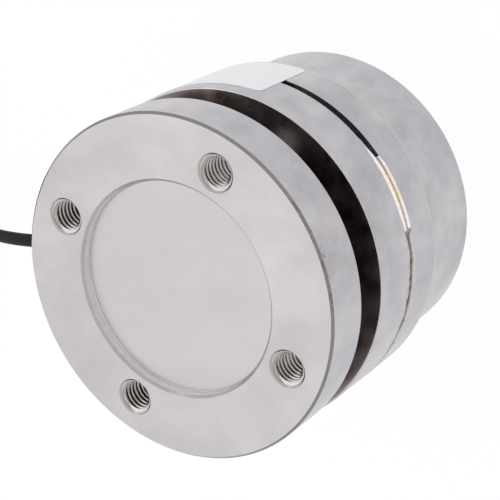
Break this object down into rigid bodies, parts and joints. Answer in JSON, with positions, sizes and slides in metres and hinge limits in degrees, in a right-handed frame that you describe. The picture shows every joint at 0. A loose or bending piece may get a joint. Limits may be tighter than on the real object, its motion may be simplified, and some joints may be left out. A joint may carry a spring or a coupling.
{
  "type": "column load cell",
  "caption": "Round steel column load cell: tapped loading flange with a shallow recess over a narrow groove, sealed two-part casing, smaller rear boss, thin side cable tied in a coil",
  "frame": {"origin": "centre of the flat rear face, on which the cell stands", "axes": "+Z along the column's axis from the rear boss to the loading flange, +X towards the cable gland"},
  "size_m": [0.2174, 0.0916, 0.0694],
  "materials": {
    "stainless": "fine turned, satin",
    "weld_metal": "rough, heat tinted bead",
    "screw_steel": "plain",
    "brass": "turned",
    "gland_metal": "nickel plated",
    "rubber": "matte",
    "board": "solder mask",
    "solder": "tinned",
    "gauge_foil": "polyimide film",
    "lead_enamel": "enamelled wire",
    "resistor_body": "lacquered",
    "label_film": "satin white film",
    "cable_jacket": "smooth black jacket",
    "tie_plastic": "nylon",
    "sleeve_plastic": "shrink sleeve",
    "red_insulation": "smooth",
    "black_insulation": "smooth",
    "green_insulation": "smooth",
    "white_insulation": "smooth"
  },
  "bodies": {
    "root": {"spring_element": "stainless", "housing_sleeve": "stainless", "base_housing": "stainless", "base_cover": "stainless", "seam_weld": "weld_metal", "neck_o_ring": "rubber", "foot_screws": "screw_steel", "dowel_pins": "screw_steel", "compensation_board": "board", "board_standoffs": "brass", "board_screws": "screw_steel", "board_terminals": "brass", "label": "label_film", "zero_resistor": "resistor_body", "span_resistor": "resistor_body", "temperature_resistor": "resistor_body", "gland_body": "gland_metal", "gland_gasket": "rubber", "gland_seal": "rubber", "gland_nut": "gland_metal", "bend_relief": "rubber", "cable_clamp": "gland_metal", "green_core": "green_insulation", "red_core": "red_insulation", "white_core": "white_insulation", "black_core": "black_insulation", "cable": "cable_jacket", "cable_coil": "cable_jacket", "coil_ties": "tie_plastic", "cable_tail": "cable_jacket", "end_sleeve": "sleeve_plastic", "red_lead": "red_insulation", "black_lead": "black_insulation", "green_lead": "green_insulation", "white_lead": "white_insulation", "strain_gauge_1": "gauge_foil", "terminal_pad_1": "solder", "gauge_lead_1": "lead_enamel", "strain_gauge_2": "gauge_foil", "terminal_pad_2": "solder", "gauge_lead_2": "lead_enamel", "strain_gauge_3": "gauge_foil", "terminal_pad_3": "solder", "gauge_lead_3": "lead_enamel", "strain_gauge_4": "gauge_foil", "terminal_pad_4": "solder", "gauge_lead_4": "lead_enamel"}
  },
  "joints": []
}
